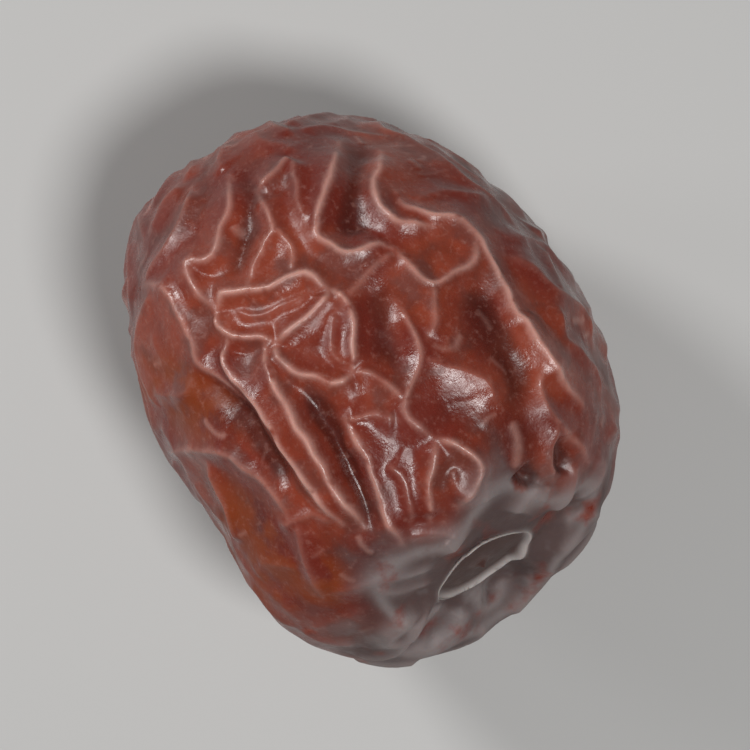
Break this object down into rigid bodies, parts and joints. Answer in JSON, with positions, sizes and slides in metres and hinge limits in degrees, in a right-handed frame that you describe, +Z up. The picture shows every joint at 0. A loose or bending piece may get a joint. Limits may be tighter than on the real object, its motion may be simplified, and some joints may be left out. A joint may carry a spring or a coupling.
{
  "type": "dried jujube fruit",
  "caption": "Single dried jujube, or red date: a wrinkled barrel-shaped fruit lying on its side, with a scarred hollow at its stem end.",
  "frame": {"origin": "on the resting surface, under the middle of the fruit's bounding box", "axes": "+X along the fruit towards its stem end, +Z up from the flat spot that it rests on"},
  "size_m": [0.028, 0.0222, 0.0205],
  "materials": {
    "dried_skin": "dark red-brown wrinkled skin, satin with a dusty bloom on the crests and at the stem end"
  },
  "bodies": {
    "root": {"jujube": "dried_skin"}
  },
  "joints": []
}
